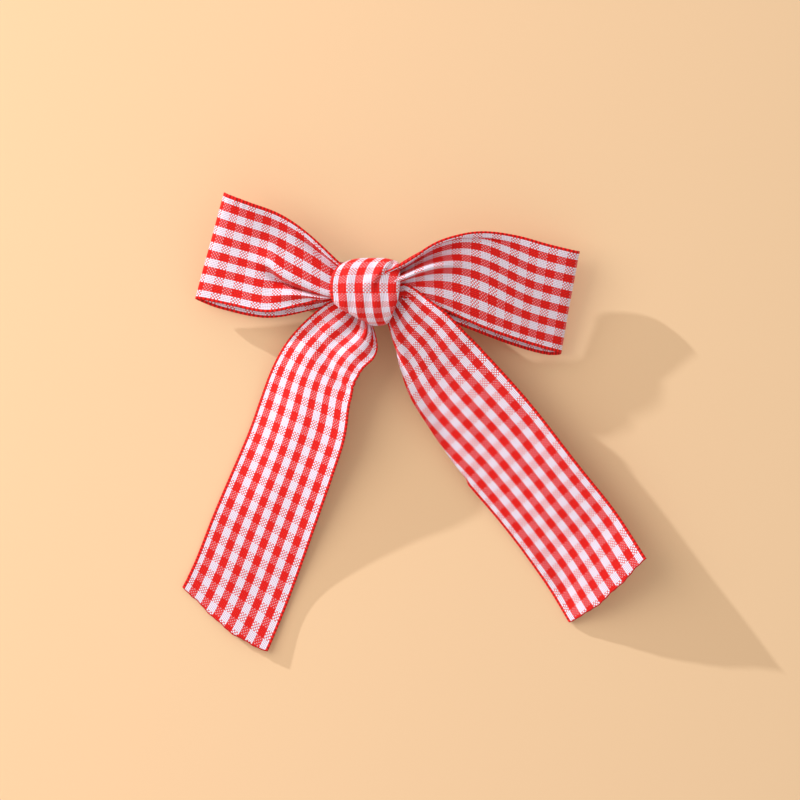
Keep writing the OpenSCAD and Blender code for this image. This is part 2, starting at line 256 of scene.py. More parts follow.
# %% Make a mesh
def add_object(name, data):
    """A new object for that data, linked to the scene."""
    thing = bpy.data.objects.new(name, data)
    bpy.context.collection.objects.link(thing)
    return thing


def make_mesh(name, verts, faces, uv=None):
    """Puts an array of points in millimetres and a list of faces into a new object at the origin."""
    mesh = bpy.data.meshes.new(name)
    mesh.from_pydata((np.asarray(verts) * MM).tolist(), [], list(faces))
    if uv is not None:
        layer = mesh.uv_layers.new(name="cloth")
        loops = np.empty(len(mesh.loops), np.int32)
        mesh.loops.foreach_get("vertex_index", loops)
        layer.data.foreach_set("uv", np.asarray(uv, np.float32)[loops].ravel())
    mesh.polygons.foreach_set("use_smooth", np.ones(len(mesh.polygons), bool))
    mesh.update()
    print(name, "faces", len(mesh.polygons))
    return add_object(name, mesh)


# %% [markdown]
# The grid gets its thickness: a front and a back, half the thickness away along the surface's own
# direction, joined round the rim. The selvedge is a little thicker than the cloth, because its
# yarns are packed. UV is distance on the flat ribbon, so the weave follows every fold. Scissors
# never cut quite straight, so the last stretch of a tail is drawn out to its own cut line.

# %% Close a sheet
UV_MM = 200.0            # this many millimetres of cloth make one unit of UV
CUT_REACH = 9.0          # the cloth is drawn out to its cut over this much of its length
NOT_CUT = 99.0           # value of to_cut on a piece with no cut end
PACKED = 0.35            # how much thicker the selvedge is, as a part of the cloth's thickness


def sheet_faces(rows, cols):
    """Squares of the front, the same ones turned over for the back, and the rim between them. The
    back's points come after the front's, in the same order."""
    i, j = np.mgrid[0:rows - 1, 0:cols - 1]
    a = (i * cols + j).ravel()
    front = np.stack([a, a + cols, a + cols + 1, a + 1], 1)
    n = rows * cols
    back = front[:, ::-1] + n
    left = np.arange(rows - 1) * cols
    right = left + cols - 1
    near = np.arange(cols - 1)
    far = near + (rows - 1) * cols
    rim = [np.stack([left, left + n, left + cols + n, left + cols], 1),
           np.stack([right, right + cols, right + cols + n, right + n], 1),
           np.stack([near, near + 1, near + 1 + n, near + n], 1),
           np.stack([far, far + n, far + 1 + n, far + 1], 1)]
    return np.concatenate([front, back, *rim]).tolist()


def cloth(name, p, length, cut=None):
    """Closes a grid into a sheet with thickness. UV u is the distance from the left selvedge and
    v the distance along the ribbon, in units of UV_MM. cut(v) is how far the far end was cut beyond
    a straight line, in mm. The attribute to_cut is the distance left to that end."""
    rows, cols = p.shape[:2]
    v = np.linspace(0, 1, cols)
    run = np.repeat(np.linspace(0, length, rows)[:, None], cols, 1)
    to_cut = np.full((rows, cols), NOT_CUT)
    if cut is not None:
        more = cut(v)[None, :] * ramp(run, length - CUT_REACH, length)
        p = p + unit(np.gradient(p, axis=0)) * more[..., None]
        to_cut = length - run
        run = run + more
    edge = np.minimum(v, 1 - v) * RIBBON_W
    half = 0.5 * CLOTH_T * (1 + PACKED * bump(edge, SELVEDGE / 2, SELVEDGE / 2))
    shift = facing(p) * half[None, :, None]
    verts = np.concatenate([(p + shift).reshape(-1, 3), (p - shift).reshape(-1, 3)])
    uv = np.stack(np.broadcast_arrays(v[None, :] * RIBBON_W, run), -1).reshape(-1, 2)
    piece = make_mesh(name, verts, sheet_faces(rows, cols), np.tile(uv, (2, 1)) / UV_MM)
    left_over = piece.data.attributes.new("to_cut", "FLOAT", "POINT")
    left_over.data.foreach_set("value", np.tile(to_cut.ravel(), 2).astype(np.float32))
    return piece


print("a sheet of 3 by 3 points has", len(sheet_faces(3, 3)), "faces")

# %% [markdown]
# A stretch of ribbon. The drawn surface runs straight from one selvedge to the other, and then a
# profile folds it: for each t, the station number, and each v, the place across the ribbon from 0
# to 1, it says how far along the straight line the cloth lies, and how far it stands off the line.

# %% Drape one stretch of ribbon
COLUMNS = 26             # points across the coarse grid
FINER = 3                # steps of the fine grid to one of the coarse grid
HANDLED = 0.10           # height in mm of the cloth's faint unevenness
rng = np.random.default_rng(7)


def ripple(rows, cols, size):
    """Faint unevenness of cloth that has been handled: a few slow sine waves with seeded phases."""
    u = np.linspace(0, 1, rows)[:, None] * rows
    v = np.linspace(0, 1, cols)[None, :] * cols
    waves = np.zeros((rows, cols))
    for _ in range(5):
        k = rng.uniform(0.10, 0.45, 2) * rng.choice([-1, 1], 2)
        waves += np.sin(k[0] * u + k[1] * v + rng.uniform(0, 6.28))
    return size * waves / 5


def measure(name, p, length):
    """Prints the sheet's width, summed across each row, and its length, summed along each column."""
    across = np.linalg.norm(np.diff(p, axis=1), axis=-1).sum(1)
    along = np.linalg.norm(np.diff(p, axis=0), axis=-1).sum(0)
    print(name, "width after settling:", across.min().round(1), "to", across.max().round(1),
          "length:", along.min().round(1), "to", along.max().round(1), "meant", round(length, 1))


def drape(name, stations, profile, hold, cut=None, least=0.7):
    """A ribbon through stations (selvedge a, selvedge b). profile(t, v) gives the place along the
    line from a to b, and the height off it in mm. hold(t, v) is how firmly that place is kept."""
    a = np.array([s[0] for s in stations], float)
    b = np.array([s[1] for s in stations], float)
    rows = int(even_steps((a + b) / 2, 50)[1]) + 1
    t, length = even_steps((a + b) / 2, rows)
    v = np.linspace(0, 1, COLUMNS)
    ea, eb = through(a, t), through(b, t)
    place, lift = np.broadcast_arrays(*profile(t[:, None], v[None, :]))
    straight = ea[:, None] * (1 - v[None, :, None]) + eb[:, None] * v[None, :, None]
    drawn = ea[:, None] * (1 - place[..., None]) + eb[:, None] * place[..., None]
    drawn = drawn + facing(straight) * (lift + ripple(rows, COLUMNS, HANDLED))[..., None]
    firm = np.broadcast_to(hold(t[:, None], v[None, :]), (rows, COLUMNS))
    p = settle(drawn, RIBBON_W, length, firm, least)
    measure(name, p, length)
    fine = refine(p, (rows - 1) * FINER + 1, (COLUMNS - 1) * FINER + 1)
    return cloth(name, fine, length, cut), length


print("points across a finished ribbon:", (COLUMNS - 1) * FINER + 1)

# %% [markdown]
# The left loop. It leaves the knot on the clip's side, runs out, turns over and comes back on top.
# On top it is gathered: the upper part folds over the lower part in one deep pleat that runs from
# the middle of the loop into the knot. The upper selvedge stands high and the lower one low. The
# stations give the upper selvedge first, from the knot along the back to the knot again.

# %% Left loop
ROOT_HOLD = 0.5          # how firmly the knot grips
EDGE_HOLD = 0.06         # how much more a selvedge keeps to its line than the cloth does


def hold_ends(last, middle=0.12):
    """Firm where the knot grips both ends of a loop, light elsewhere, a bit more at selvedges."""
    def hold(t, v):
        grip = 1 - ramp(t, 0.2, 1.0) + ramp(t, last - 1.0, last - 0.2)
        edge = bump(np.minimum(v, 1 - v), 0, 0.06)
        return middle + ROOT_HOLD * grip + EDGE_HOLD * edge
    return hold


LEFT_LOOP = [
    [(-3.6, 3.4, 9.4), (-3.6, -1.8, 9.2)],
    [(-12, 9.5, 8.2), (-12.5, -4.4, 5.8)],
    [(-20, 15.3, 8.6), (-23, -6.3, 3.4)],
    [(-28, 19.7, 10.2), (-33.5, -4.3, 2.2)],
    [(-31.9, 21.8, 11.6), (-38.7, -2.4, 2.8)],
    [(-32.5, 22.2, 13.2), (-39.7, -1.9, 3.7)],
    [(-31.2, 21.5, 14.6), (-37.8, -2.1, 4.8)],
    [(-26.5, 19.7, 14.8), (-31, -3.6, 6.8)],
    [(-20, 17.3, 14.0), (-22.5, -5.2, 9.2)],
    [(-14, 13.3, 13.4), (-14.5, -3.3, 10.6)],
    [(-8, 7.6, 12.6), (-8.4, -1.8, 11.0)],
    [(-3.6, 3.6, 12.0), (-3.6, -1.2, 11.2)],
]


def left_loop_folds(t, v):
    """Back: shallow gathers that fade outwards. Front: towards the knot the upper part spreads down
    over the lower one by `spread`, and the lower part is crowded into what is left, in a valley."""
    back = 1.1 * np.sin(2 * np.pi * 1.5 * v) * ramp(t, 3.0, 0.6) * ramp(t, 0, 0.5)
    spread = 0.40 * np.clip((t - 7.9) / 2.1, 0, 1)
    upper = v + spread * ramp(v, 0.10, 0.52)
    edge = 0.6 + spread
    lower = edge + (1 - edge) * np.clip((v - 0.6) / 0.4, 0, 1) ** (1 + 6 * spread)
    front = ramp(t, 7.2, 8.4)
    swell = 1.9 * bump(v, 0.50, 0.12)
    valley = -3.4 * bump(v, 0.56 + 0.12 * ramp(t, 7.4, 8.6), 0.055) * ramp(t, 7.3, 8.2)
    crease = 1.2 * bump(v, 0.82, 0.07) * ramp(t, 7.8, 8.8)
    shoulder = -1.4 * bump(v, 0.17, 0.05) * ramp(t, 8.4, 9.6)
    return np.where(v < 0.6, upper, lower), back - front * (swell + valley + crease + shoulder)


left_loop, left_loop_mm = drape("left_loop_ribbon", LEFT_LOOP, left_loop_folds, hold_ends(11))

# %% [markdown]
# The right loop is turned a little further over, so its end is crisp and its top edge rolls. A deep
# valley starts at the knot under the rolled top, and fades out towards the middle of the loop. The
# stations give the lower selvedge first.

# %% Right loop
RIGHT_LOOP = [
    [(3.6, -2.2, 9.2), (3.6, 3.4, 9.4)],
    [(13, -4.6, 9.6), (12, 8.5, 10.4)],
    [(21.8, -8.3, 9.6), (20.5, 11.9, 10.6)],
    [(32.5, -12.3, 4.8), (31, 12.4, 7.6)],
    [(40, -14.5, 2.4), (41, 10.0, 6.2)],
    [(43.7, -14.9, 1.5), (47.6, 9, 6.3)],
    [(44.7, -14.4, 3.2), (48.8, 9, 7.6)],
    [(43.6, -14.2, 5.2), (47.6, 9.1, 9.2)],
    [(38.4, -12.8, 6.8), (41.6, 10.5, 10.2)],
    [(31.5, -10.6, 8.6), (33.5, 12.6, 11.4)],
    [(24.5, -7.9, 10.2), (25, 13.3, 12.6)],
    [(17, -4.4, 11.6), (16.5, 11.3, 13.2)],
    [(10, -2.0, 11.6), (9.4, 6.8, 12.8)],
    [(3.6, -1.6, 11.4), (3.6, 3.8, 12.0)],
]


def right_loop_folds(t, v):
    """Back: shallow gathers. Front: the cloth is drawn up towards the top, which rolls over and
    away, and a deep valley runs from the knot along the middle and fades out."""
    back = -0.7 * np.sin(2 * np.pi * 1.5 * v) * ramp(t, 3.0, 0.6) * ramp(t, 0, 0.5)
    drawn_up = 0.145 * ramp(t, 8.2, 10.6) * ramp(t, 13.2, 11.6)
    place = v + drawn_up * ramp(v, 0.05, 0.45) * ramp(v, 1.0, 0.78)
    front = ramp(t, 8.8, 10.8)
    roll = 1.9 * bump(v, 0.65, 0.08) * ramp(t, 9.4, 11.2)
    over = -2.4 * bump(v, 1.0, 0.14)
    valley = -3.4 * bump(v, 0.50, 0.055) * ramp(t, 10.0, 11.4)
    low = 0.7 * bump(v, 0.30, 0.12)
    return place, back + front * (roll + over + valley + low)


right_loop, right_loop_mm = drape("right_loop_ribbon", RIGHT_LOOP, right_loop_folds, hold_ends(13))

# %% [markdown]
# The tails hang from under the knot. Each is gripped at its root, where its whole width is pressed
# into a few millimetres, and fans out below. The left one leaves the knot sideways, bends over a
# crease and then falls. Its stations give the outer selvedge first. Its root is gathered so finely
# that only a little over half of its width is drawn there.

# %% Left tail
def hold_root(grip_to, middle=0.08):
    """Firm at the root, light along the tail, a bit more at the selvedges."""
    def hold(t, v):
        edge = bump(np.minimum(v, 1 - v), 0, 0.06)
        return middle + ROOT_HOLD * (1 - ramp(t, 0.3, grip_to)) + EDGE_HOLD * edge
    return hold


LEFT_TAIL = [
    [(-3.8, -1.8, 9.4), (-0.4, -5.0, 7.8)],
    [(-6.0, -2.0, 9.8), (1.9, -9.4, 7.4)],
    [(-8.6, -2.8, 9.8), (2.9, -13.4, 9.4)],
    [(-11.4, -4.4, 8.8), (1.6, -15.9, 11.0)],
    [(-14.8, -7.2, 7.4), (-0.6, -17.8, 11.4)],
    [(-18.6, -11.6, 5.4), (-2.4, -20.8, 11.0)],
    [(-22.1, -18.2, 2.8), (-3.8, -25.3, 10.2)],
    [(-24.8, -25.2, 1.5), (-5.0, -34.0, 8.2)],
    [(-27.6, -33.0, 0.9), (-7.6, -42.2, 6.2)],
    [(-32.2, -43.6, 0.6), (-11.9, -54.5, 3.6)],
    [(-36.1, -52.8, 0.5), (-15.5, -64.6, 1.9)],
    [(-39.7, -62.0, 0.5), (-19.2, -74.4, 1.1)],
    [(-42.7, -68.5, 0.5), (-23.2, -84.0, 1.6)],
]


def left_tail_folds(t, v):
    """Soft flutes run down from the root and fade out, and a crease crosses slantwise where the
    tail bends to fall. The outer edge curls near the knot, and the cloth swells below the bend."""
    root = ramp(t, 6.0, 3.0) * ramp(t, 0.6, 1.8)
    flutes = 0.55 * np.sin(2 * np.pi * (2.2 * v + 0.10)) * root
    crease = 0.7 * bump(v, 0.20 + 0.40 * (t - 4), 0.10) * ramp(t, 3.2, 4.0) * ramp(t, 6.4, 5.6)
    curl = 1.2 * bump(v, 0.0, 0.08) * ramp(t, 1.0, 2.0) * ramp(t, 5.6, 4.2)
    swell = -0.7 * bump(v, 0.40, 0.25) * ramp(t, 11, 7) * ramp(t, 4, 6)
    return v, -(flutes + crease + curl + swell)


def left_cut(v):
    """The left tail was cut in a slight bow, 1.5 mm proud of straight, and a little unevenly."""
    return 1.5 * np.sin(np.pi * v ** 1.2) + 0.12 * np.sin(23 * v) + 0.06 * np.sin(61 * v)


left_tail, left_tail_mm = drape("left_tail_ribbon", LEFT_TAIL, left_tail_folds, hold_root(1.4),
                                cut=left_cut, least=0.55)

# %% [markdown]
# The right tail leaves the knot nearly flat and swings out to the right. Its inner edge comes down
# to the table, and its outer edge stays up. Next to the knot the inner part is folded under, so
# fewer stripes leave the knot than the ribbon has. The stations give the inner selvedge first.

# %% Right tail
TUCK_ROUND = 0.0006      # rounds the fold of a tuck; its root is a part of the ribbon's width

RIGHT_TAIL = [
    [(3.0, -3.4, 8.8), (5.6, 1.8, 10.6)],
    [(4.6, -7.8, 8.8), (10.0, 0.7, 12.2)],
    [(5.8, -12.3, 8.0), (14.2, -2.3, 13.4)],
    [(7.0, -17.4, 7.0), (18.4, -5.5, 13.4)],
    [(8.8, -23.2, 6.0), (22.4, -9.6, 12.6)],
    [(11.4, -28.4, 5.0), (26.4, -13.6, 11.4)],
    [(20.2, -41.2, 3.2), (37.4, -25.8, 10.2)],
    [(31.6, -54.8, 2.0), (48.9, -40.5, 9.7)],
    [(40.6, -67.0, 1.1), (57.4, -51.2, 9.5)],
    [(46.6, -76.8, 0.8), (64.0, -61.6, 10.5)],
]


def tuck(v, amount):
    """Folds the edge at v = 0 under: the cloth past the fold runs back beneath its neighbour.
    Returns the new places and a mask that is 1 on the cloth that lies beneath."""
    place = np.sqrt((v - amount) ** 2 + TUCK_ROUND) / (1 - amount)
    return np.where(amount > 0.002, place, v), ramp(amount - v, -0.02, 0.03)


def right_tail_folds(t, v):
    """At the knot the inner part is tucked far under, so the stripes of the outer part leave at
    their full width. The tuck lets go further down, and its edge stands up as one thin pleat."""
    near = 0.27 * ramp(t, 0.2, 0.9) * ramp(t, 3.8, 1.0)
    amount = near + 0.10 * ramp(t, 1.0, 2.4) * ramp(t, 6.4, 5.0)
    place, under = tuck(v, amount)
    pleat = 1.3 * bump(v - amount, 0.13, 0.05) * ramp(t, 4.4, 2.0) * ramp(t, 0.4, 1.0)
    flute = 0.5 * bump(v - amount, 0.34, 0.07) * ramp(t, 4.0, 1.6) * ramp(t, 0.4, 1.0)
    crown = 0.6 * bump(v, 0.5, 0.3) * ramp(t, 2, 4)
    dent = -0.6 * bump(v, 0.15, 0.1) * bump(t, 8.3, 0.5)
    return place, pleat + flute + crown + dent - 1.5 * under


def right_cut(v):
    """The right tail was cut with its inner corner 1.3 mm proud of straight, a little unevenly."""
    return 1.35 * np.sin(np.pi * v ** 0.75) + 0.12 * np.sin(19 * v + 1) + 0.06 * np.sin(57 * v)


right_tail, right_tail_mm = drape("right_tail_ribbon", RIGHT_TAIL, right_tail_folds, hold_root(1.4),
                                  cut=right_cut)

# %% [markdown]
# The knot is the same ribbon, wrapped once round the gathered middle and pulled tight. It is wider
# than the knot, so it is pleated lengthwise: past the knot's right edge it turns and runs back
# underneath, and round the narrow bottom it turns several times. A triangle wave does that: its
# half-length is the knot's width at that angle, and each turn lies one layer deeper.

# %% Pleats and folds of the knot
PLEAT_TURN = 0.9992      # how sharply a pleat turns: 1 would be a crease
TURN_REACH = 0.8         # a turn goes one layer deeper over this much cloth either side of it


def knot_pleats(u, left, width):
    """Place across the knot, and how many layers deep the cloth lies, for cloth that is u from the
    knot's left edge. The place is a triangle wave: the arccosine of a cosine that is shrunk a
    little to round its turns."""
    x = left + width / np.pi * np.arccos(PLEAT_TURN * np.cos(np.pi * u / width))
    layer = sum(ramp(np.abs(u + 0.01), k * width - TURN_REACH, k * width + TURN_REACH)
                for k in range(1, 6))
    return x, layer + ramp(-u, -TURN_REACH, TURN_REACH)


def knot_folds(x, up, face, a):
    """Relief of the knot's face. One ridge, steep on its right and long on its left, slants from
    the upper right towards the middle, with a groove along its steep side. Faint waves cover the
    rest."""
    line = 1.4 + 3.9 * ramp(up, 0.15, 1.0)
    ridge = 0.75 * ramp(x, line + 0.9, line - 0.1) * ramp(x, line - 3.6, line - 0.6)
    groove = 0.3 * bump(x, line + 1.0, 0.5)
    waves = 0.10 * np.sin(1.7 * x + 2.2 * a)
    return ((ridge - groove) * ramp(up, -0.15, 0.35) + waves) * face


print("place and layers of cloth 10 mm in, on a knot 12 mm wide:",
      [round(float(value), 2) for value in knot_pleats(10.0, 0.0, 12.0)])

# %% [markdown]
# The wrap goes round the knot's box as a squarish ring. Its edges come from a short list: angle by
# angle, where the left and right edges are, and how much width is tucked under at the left.

# %% Knot
knot_low, knot_high = [np.array(c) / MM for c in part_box("knot_wrap")]
knot_mid = (knot_low + knot_high) / 2
knot_half = (knot_high - knot_low) / 2
LAYER_DEEP = 0.45        # depth of one layer of pleated cloth
LAP = 1.2 * CLOTH_T      # the end of the wrap lies this far under its start
KNOT_ENDS = [            # angle in degrees, left edge, right edge, and width tucked under at the left
    (-112, -3.6, 5.4, 2), (-60, -4.2, 6.4, 1), (-20, -4.6, 7.2, 0), (12, -5.4, 7.5, 0),
    (45, -7.4, 7.7, 0), (75, -8.4, 7.7, 0), (100, -8.2, 7.3, 0.1), (122, -6.2, 6.5, 1.8),
    (146, -2.8, 5.8, 4.7), (170, -0.4, 5.3, 6.6), (220, -1.6, 5.2, 5), (272, -3.6, 5.4, 2)]


def squarish(wave, power):
    """A sine or cosine raised to a power below 1, with its sign kept, which squares up a circle."""
    return np.sign(wave) * np.abs(wave) ** power


def knot_surface(rows, cols):
    """Point at angle a round the knot, from the back over the top, the front and the bottom: the
    box's half sizes, less the crown's fall to the sides and the layers' depth, times the squarish
    cosine and sine."""
    ends = np.array(KNOT_ENDS, float)
    run = through(ends, np.linspace(0, len(ends) - 1, rows))
    a = np.radians(run[:, :1])
    left, width = run[:, 1:2], run[:, 2:3] - run[:, 1:2]
    u = np.linspace(0, RIBBON_W, cols)[None, :] - np.maximum(run[:, 3:], 0)
    x, layer = knot_pleats(u, left, width)
    up, front = squarish(np.cos(a), 0.85), squarish(np.sin(a), 0.72)
    crown = 0.13 * np.abs(2 * (x - left) / width - 1) ** 3
    relief = knot_folds(x, up, np.maximum(front, 0), a)
    inset = LAYER_DEEP * layer + CLOTH_T / 2
    ry = knot_half[1] * (1 - crown) - inset + 0.4 * relief
    rz = knot_half[2] * (1 - crown) - inset + relief
    lap = LAP * ramp(a, np.radians(215), np.radians(255))
    z = knot_mid[2] + (rz - lap) * front
    return np.stack(np.broadcast_arrays(x, knot_mid[1] + ry * up, z), -1)


knot_grid = knot_surface(150, 150)
knot_length = float(np.linalg.norm(np.diff(knot_grid[:, 50], axis=0), axis=-1).sum())
knot_wrap = cloth("knot_ribbon", knot_grid, knot_length)
print("length of the wrap:", round(knot_length, 1), "mm")

# %% [markdown]
# Every sheet rides on the bow's body, and the frame's node that it replaces is hidden. The flat
# size of each, the ribbon's width by the length of its path, is printed.

for piece, node, length, held, on in (
        (left_loop, "left_loop", left_loop_mm, "gathered", [knot_wrap]),
        (right_loop, "right_loop", right_loop_mm, "gathered", [knot_wrap]),
        (left_tail, "left_tail", left_tail_mm, "gathered", [knot_wrap]),
        (right_tail, "right_tail", right_tail_mm, "gathered", [knot_wrap]),
        (knot_wrap, "knot_wrap", knot_length, "folded", ["centre_gather", "glue_pad"])):
    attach(piece, "bow")
    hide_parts(node)
    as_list(on)
    print(node, "flat:", RIBBON_W, "by", round(length, 1), "mm")

# %% [markdown]
# Materials are trees of nodes. A few helpers keep them short: one makes a Math node and links what
# it is given, others mix or dim a colour, and others make noise, bumps and a new material.

# %% Node helpers
def value_node(tree, op, *inputs):
    """A Math node of that operation, with numbers set on its sockets and links made to them."""
    node = tree.nodes.new("ShaderNodeMath")
    node.operation = op
    for socket, given in zip(node.inputs, inputs):
        if isinstance(given, (int, float)):
            socket.default_value = given
        else:
            tree.links.new(given, socket)
    return node.outputs[0]


def mix_colour(tree, factor, a, b, blend="MIX"):
    """A colour Mix node from a to b."""
    node = tree.nodes.new("ShaderNodeMix")
    node.data_type = "RGBA"
    node.blend_type = blend
    for socket, given in ((node.inputs[0], factor), (node.inputs[6], a), (node.inputs[7], b)):
        if isinstance(given, bpy.types.NodeSocket):
            tree.links.new(given, socket)
        else:
            socket.default_value = given
    return node.outputs[2]


def dim_colour(tree, colour, factor):
    """The colour times the factor."""
    node = tree.nodes.new("ShaderNodeVectorMath")
    node.operation = "SCALE"
    tree.links.new(colour, node.inputs[0])
    tree.links.new(factor, node.inputs["Scale"])
    return node.outputs[0]


def noise_node(tree, place, scale, detail=2):
    """Value of a Noise texture at that place."""
    noise = tree.nodes.new("ShaderNodeTexNoise")
    noise.inputs["Scale"].default_value = scale
    noise.inputs["Detail"].default_value = detail
    tree.links.new(place, noise.inputs["Vector"])
    return noise.outputs[0]


def raise_bumps(tree, shader, height, strength, distance):
    """A Bump node from the height to the shader's Normal. The distance is in metres."""
    lift = tree.nodes.new("ShaderNodeBump")
    lift.inputs["Strength"].default_value = strength
    lift.inputs["Distance"].default_value = distance
    tree.links.new(height, lift.inputs["Height"])
    tree.links.new(lift.outputs[0], shader.inputs["Normal"])


def new_material(name):
    """An empty material. Returns it with its node tree and its shader."""
    mat = bpy.data.materials.new(name)
    mat.use_nodes = True
    print("material", name)
    return mat, mat.node_tree, mat.node_tree.nodes["Principled BSDF"]


# %% [markdown]
# Plain weave. Each yarn has a number: the whole part of its place divided by the pitch. Where the
# two numbers add up to an even number the warp is on top, else the weft. That one rule gives solid
# checks where both are dyed, white where neither is, and a fine chequer between. A weft yarn is
# thinner than its pitch, so where it floats it is a narrow bar, with the warp showing beside it.

# %% Yarns
FLOAT_LONG = 0.96        # part of its crossing that a float covers, along the weft yarn
FLOAT_WIDE = 0.68        # and across that yarn
STRIPES_TO = 5.5 * CHECK_ACROSS    # the outermost dyed stripes end this far from the middle


def choose(m, mask, off, on):
    """The value off where the mask is 0, and on where it is 1."""
    return m("ADD", m("MULTIPLY", mask, on), m("MULTIPLY", m("SUBTRACT", 1.0, mask), off))


def yarn_place(m, distance, pitch):
    """A yarn's number, and the place within the yarn from -1 to 1."""
    n = m("DIVIDE", distance, pitch)
    number = m("FLOOR", n)
    return number, m("SUBTRACT", m("MULTIPLY", m("SUBTRACT", n, number), 2.0), 1.0)


def warp_on_top(m, ix, iy, fx, fy):
    """1 where the warp shows: everywhere but on a float, where the numbers add up to an odd one."""
    odd = m("FLOORED_MODULO", m("ADD", ix, iy), 2.0)
    in_length = m("LESS_THAN", m("ABSOLUTE", fx), FLOAT_LONG)
    in_width = m("LESS_THAN", m("ABSOLUTE", fy), FLOAT_WIDE)
    return m("SUBTRACT", 1.0, m("MULTIPLY", odd, m("MULTIPLY", in_length, in_width)))


def dyed_yarns(m, ix, iy):
    """1 on a dyed warp, 1 on a dyed weft, and 1 in the selvedge. Every other stripe is dyed as far
    as STRIPES_TO, every other band is, and so is the whole selvedge."""
    from_middle = m("SUBTRACT", m("MULTIPLY", m("ADD", ix, 0.5), WARP), RIBBON_W / 2)
    stripe = m("DIVIDE", m("ADD", from_middle, 0.5 * CHECK_ACROSS), CHECK_ACROSS)
    dyed_stripe = m("GREATER_THAN", m("FLOORED_MODULO", stripe, 2.0), 1.0)
    off_middle = m("ABSOLUTE", from_middle)
    in_field = m("LESS_THAN", off_middle, STRIPES_TO)
    in_edge = m("GREATER_THAN", off_middle, RIBBON_W / 2 - SELVEDGE)
    band = m("DIVIDE", m("MULTIPLY", m("ADD", iy, 0.5), WEFT), CHECK_ALONG)
    dyed_band = m("LESS_THAN", m("FLOORED_MODULO", band, 2.0), 1.0)
    warp_dyed = m("MAXIMUM", m("MULTIPLY", dyed_stripe, in_field), in_edge)
    return warp_dyed, m("MAXIMUM", dyed_band, in_edge), in_edge


print("yarns in the ribbon's width:", round(RIBBON_W / WARP))

# %% [markdown]
# The heights of the yarns shade and raise them. A yarn is round across itself and dips where it
# goes under its neighbours. The selvedge is a cord instead, with fine ribs across it, and painted
# shade darkens the gaps between the ribs. A float lies low between two warps, so its colour is
# multiplied by theirs as painted shade and a painted reflection of the warps. All of this is one
# node group with named sockets, because every stretch of the ribbon uses it.

# %% Gingham weave group
RIB_PITCH = 0.95         # mm from rib to rib of the selvedge
# a float's colour times the warps' colour is painted shade and a painted reflection of the warps
FLOAT_PAINTED_SHADE_AND_BOUNCE = 0.66          # how much of the warps' colour a float takes


def yarn_height(m, fx, fy, on_top):
    """Height from 0 to 1: mostly one less the square of the place across the yarn on top, and for
    the rest one less the square of the place along it."""
    round_x = m("SUBTRACT", 1.0, m("MULTIPLY", fx, fx))
    round_y = m("SUBTRACT", 1.0, m("MULTIPLY", fy, fy))
    warp_h = m("ADD", m("MULTIPLY", round_x, 0.65), m("MULTIPLY", round_y, 0.35))
    weft_h = m("ADD", m("MULTIPLY", round_y, 0.65), m("MULTIPLY", round_x, 0.35))
    return choose(m, on_top, weft_h, warp_h)


def new_group(name, ins, outs):
    """An empty shader node group with named sockets: ins and outs are (name, kind) pairs."""
    group = bpy.data.node_groups.new(name, "ShaderNodeTree")
    for label, kind in ins:
        group.interface.new_socket(label, in_out="INPUT", socket_type="NodeSocket" + kind)
    for label, kind in outs:
        group.interface.new_socket(label, in_out="OUTPUT", socket_type="NodeSocket" + kind)
    return group, group.nodes.new("NodeGroupInput"), group.nodes.new("NodeGroupOutput")


def gingham_group():
    """Distances on the flat ribbon in millimetres become the colour and the height of its yarns."""
    group, given, made = new_group(
        "gingham_weave",
        [("Across mm", "Float"), ("Along mm", "Float"), ("Dyed", "Color"), ("Undyed", "Color")],
        [("Color", "Color"), ("Height", "Float")])
    across, along, dyed, undyed = given.outputs[:4]

    def m(op, *args):
        return value_node(group, op, *args)

    ix, fx = yarn_place(m, across, WARP)
    iy, fy = yarn_place(m, along, WEFT)
    on_top = warp_on_top(m, ix, iy, fx, fy)
    warp_dyed, weft_dyed, in_edge = dyed_yarns(m, ix, iy)
    wave = m("SINE", m("MULTIPLY", along, 2 * math.pi / RIB_PITCH))
    rib = m("ADD", 0.74, m("MULTIPLY", 0.26, wave))
    height = choose(m, in_edge, yarn_height(m, fx, fy, on_top), rib)
    warp_colour = mix_colour(group, warp_dyed, undyed, dyed)
    top_colour = mix_colour(group, choose(m, on_top, weft_dyed, warp_dyed), undyed, dyed)
    # painted shade and painted reflection: a float is multiplied by the colour of the warps beside it
    float_painted_shade_and_bounce = m("MULTIPLY", m("SUBTRACT", 1.0, on_top), FLOAT_PAINTED_SHADE_AND_BOUNCE)
    colour = mix_colour(group, float_painted_shade_and_bounce, top_colour, warp_colour, "MULTIPLY")
    # painted shade: the selvedge's colour is darkened by up to half in the gaps between its ribs
    rib_gaps_painted_shade = m("MULTIPLY", in_edge, m("SUBTRACT", 1.0, rib))
    colour = dim_colour(group, colour, m("SUBTRACT", 1.0, m("MULTIPLY", rib_gaps_painted_shade, 0.5)))
    group.links.new(colour, made.inputs["Color"])
    group.links.new(height, made.inputs["Height"])
    return group


weave = gingham_group()
print("weave group nodes:", len(weave.nodes))

# %% [markdown]
# The ribbon's material. Colour comes from the weave, shaded down in the valleys between yarns and
# varied in slow blotches, because dye never takes evenly. Roughness is high but not full, since
# filament yarn has a low gloss, and a little sheen lifts the edges that turn away. A cut end is
# melted, which stops it from fraying and leaves a dark, smoother line.

# %% Ribbon material
DYED = (0.88, 0.013, 0.008, 1)
UNDYED = (0.93, 0.81, 0.93, 1)
MELTED = (0.55, 0.010, 0.012, 1)
MELTED_MM = 0.34         # width of the melted line


